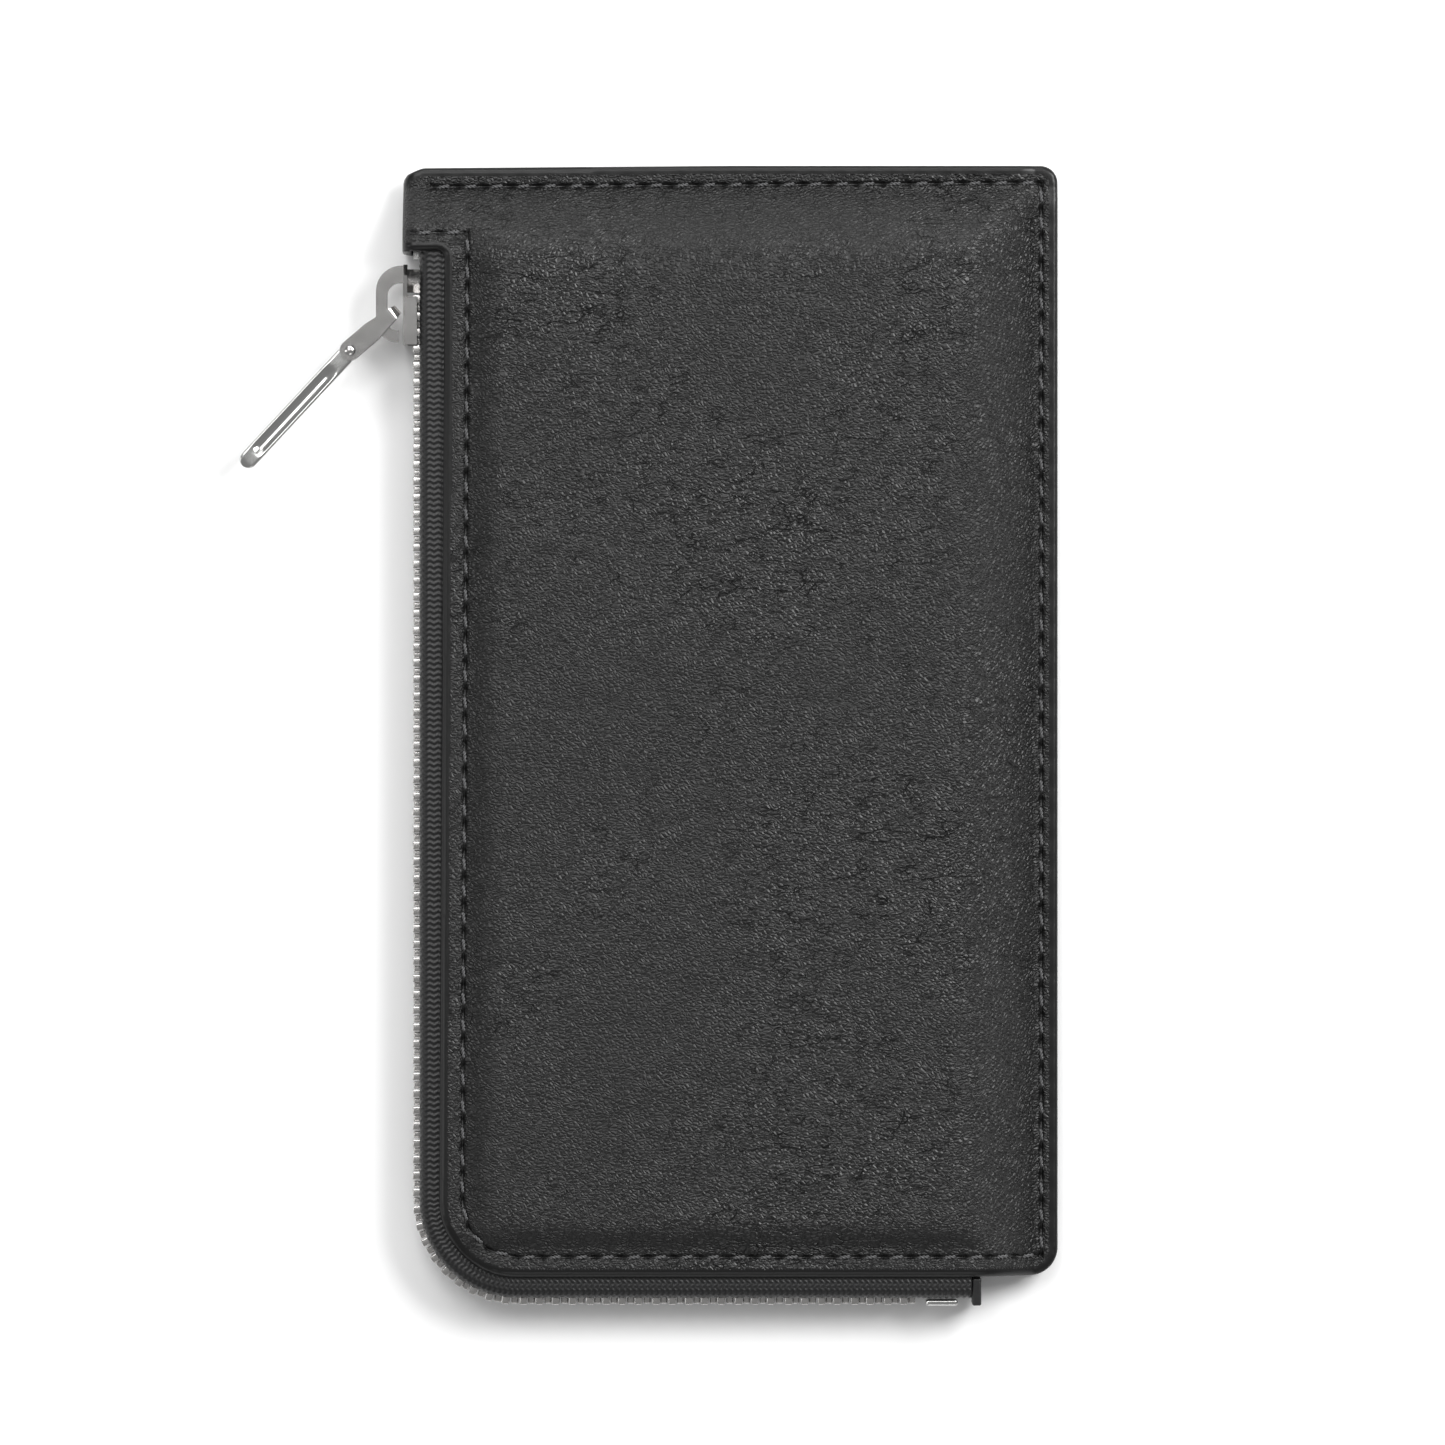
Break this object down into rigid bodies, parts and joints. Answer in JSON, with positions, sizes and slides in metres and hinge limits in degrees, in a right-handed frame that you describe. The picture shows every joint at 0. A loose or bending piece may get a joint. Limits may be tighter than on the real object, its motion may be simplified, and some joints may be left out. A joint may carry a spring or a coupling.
{
  "type": "long zip wallet",
  "caption": "Slim long leather wallet with an L-shaped zip down one side and along the bottom, a slider with a long pull, and card pockets inside.",
  "frame": {"origin": "middle of the leather body on the outer face of the back panel, which it lies on", "axes": "+X across the wallet away from the zip side, +Y up its length, +Z out of the front face"},
  "size_m": [0.1187, 0.1654, 0.0118],
  "materials": {
    "leather": "fine pebble grain, semi-matt black",
    "pocket_leather": "thin smooth black pocket leather",
    "lining": "black woven lining",
    "zip_tape": "black woven herringbone zip tape",
    "nickel": "polished nickel plate",
    "teeth": "satin nickel",
    "thread": "twisted charcoal thread",
    "board": "bonded fibre stiffener"
  },
  "bodies": {
    "root": {"back_panel": "leather", "front_panel": "leather", "back_board": "board", "front_board": "board", "back_lining": "lining", "front_lining": "lining", "divider_leaf": "pocket_leather", "card_pocket_1": "pocket_leather", "card_pocket_2": "pocket_leather", "card_pocket_3": "pocket_leather", "card_pocket_4": "pocket_leather", "pocket_stitching": "thread", "back_tape": "zip_tape", "back_teeth": "teeth", "bottom_stop": "teeth", "top_stops": "teeth", "folded_tape_end": "zip_tape", "front_stitching": "thread", "back_stitching": "thread"},
    "flap": {"front_flap": "leather", "flap_board": "board", "flap_lining": "lining", "flap_stitching": "thread", "front_tape": "zip_tape", "front_teeth": "teeth"},
    "slider": {"slider_body": "nickel", "slider_loop": "nickel"},
    "link": {"pull_link": "nickel", "link_rivet": "nickel"},
    "pull": {"pull_tab": "nickel"}
  },
  "joints": [
    {"name": "mouth_open", "type": "hinge", "parent": "root", "child": "flap", "pos_m": [-0.044, 0.068, 0.0118], "axis": [-0.4658, 0.8849, 0], "range_deg": [0, 30], "stiffness_Nm_per_rad": 0.01, "deforming": ["front_tape", "front_teeth"]},
    {"name": "slider_travel", "type": "slide", "parent": "root", "child": "slider", "axis": [0, -1, 0], "range_m": [0, 0.12], "deforming": ["back_teeth"]},
    {"name": "pull_swing", "type": "hinge", "parent": "slider", "child": "link", "pos_m": [-0.0482, 0.0597, 0.0052], "axis": [0, 0, 1], "range_deg": [-95, 25]},
    {"name": "tab_pivot", "type": "hinge", "parent": "link", "child": "pull", "pos_m": [-0.05519, 0.05371, 0.0052], "axis": [0, 0, 1], "range_deg": [-35, 25]}
  ]
}
